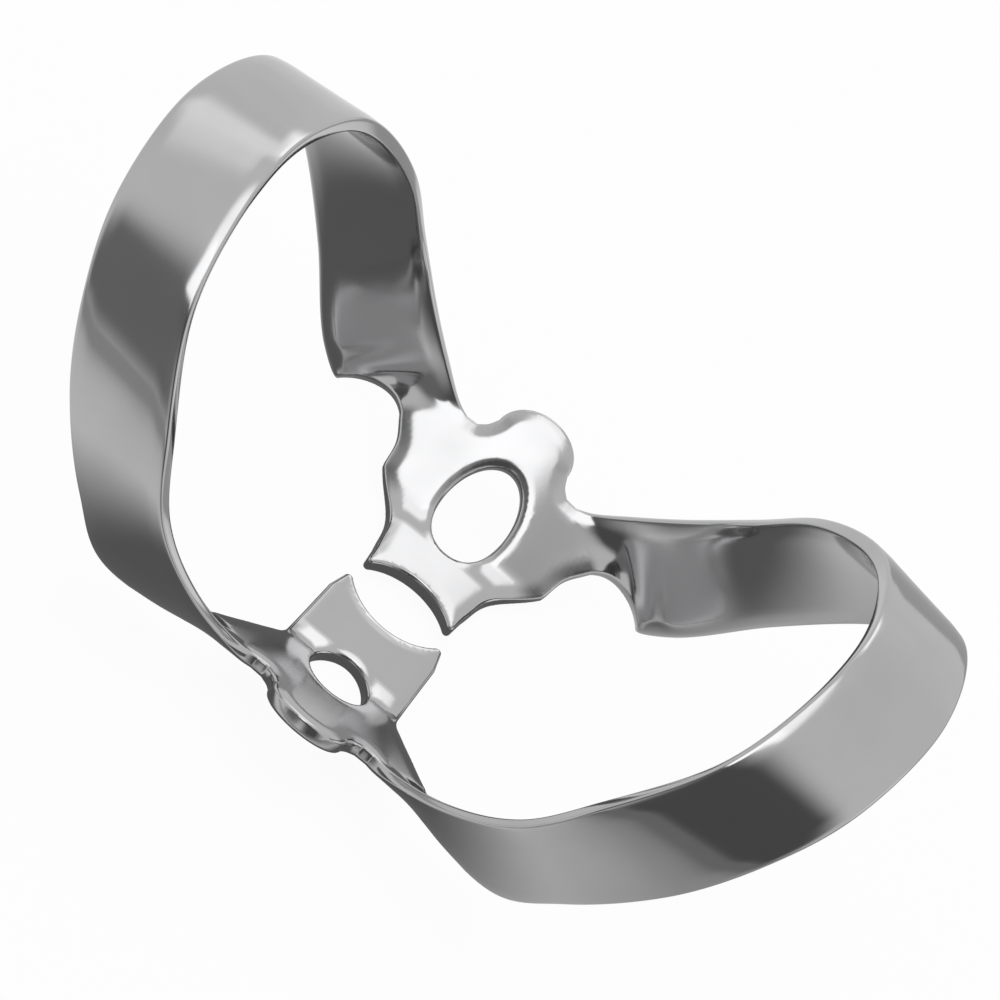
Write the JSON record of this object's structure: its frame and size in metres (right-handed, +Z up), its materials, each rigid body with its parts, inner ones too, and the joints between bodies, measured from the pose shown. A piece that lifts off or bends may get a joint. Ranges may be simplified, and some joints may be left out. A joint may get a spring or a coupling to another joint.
{
  "type": "rubber dam clamp",
  "caption": "Double-bow dental clamp bent from one spring-steel sheet: two toothed jaw plates with oval forceps holes grip a front tooth and hold a rubber sheet clear.",
  "frame": {"origin": "middle of the clamp between the two jaws, at the level of the lowest points of the jaw plates", "axes": "+X from bow to bow, +Y from the straight-sided jaw plate to the notched one, +Z up, away from the gum, towards the bows' crests"},
  "size_m": [0.0294, 0.0172, 0.0123],
  "materials": {
    "polished_spring_steel": "polished"
  },
  "bodies": {
    "root": {"rubber_dam_clamp": "polished_spring_steel"}
  },
  "joints": []
}
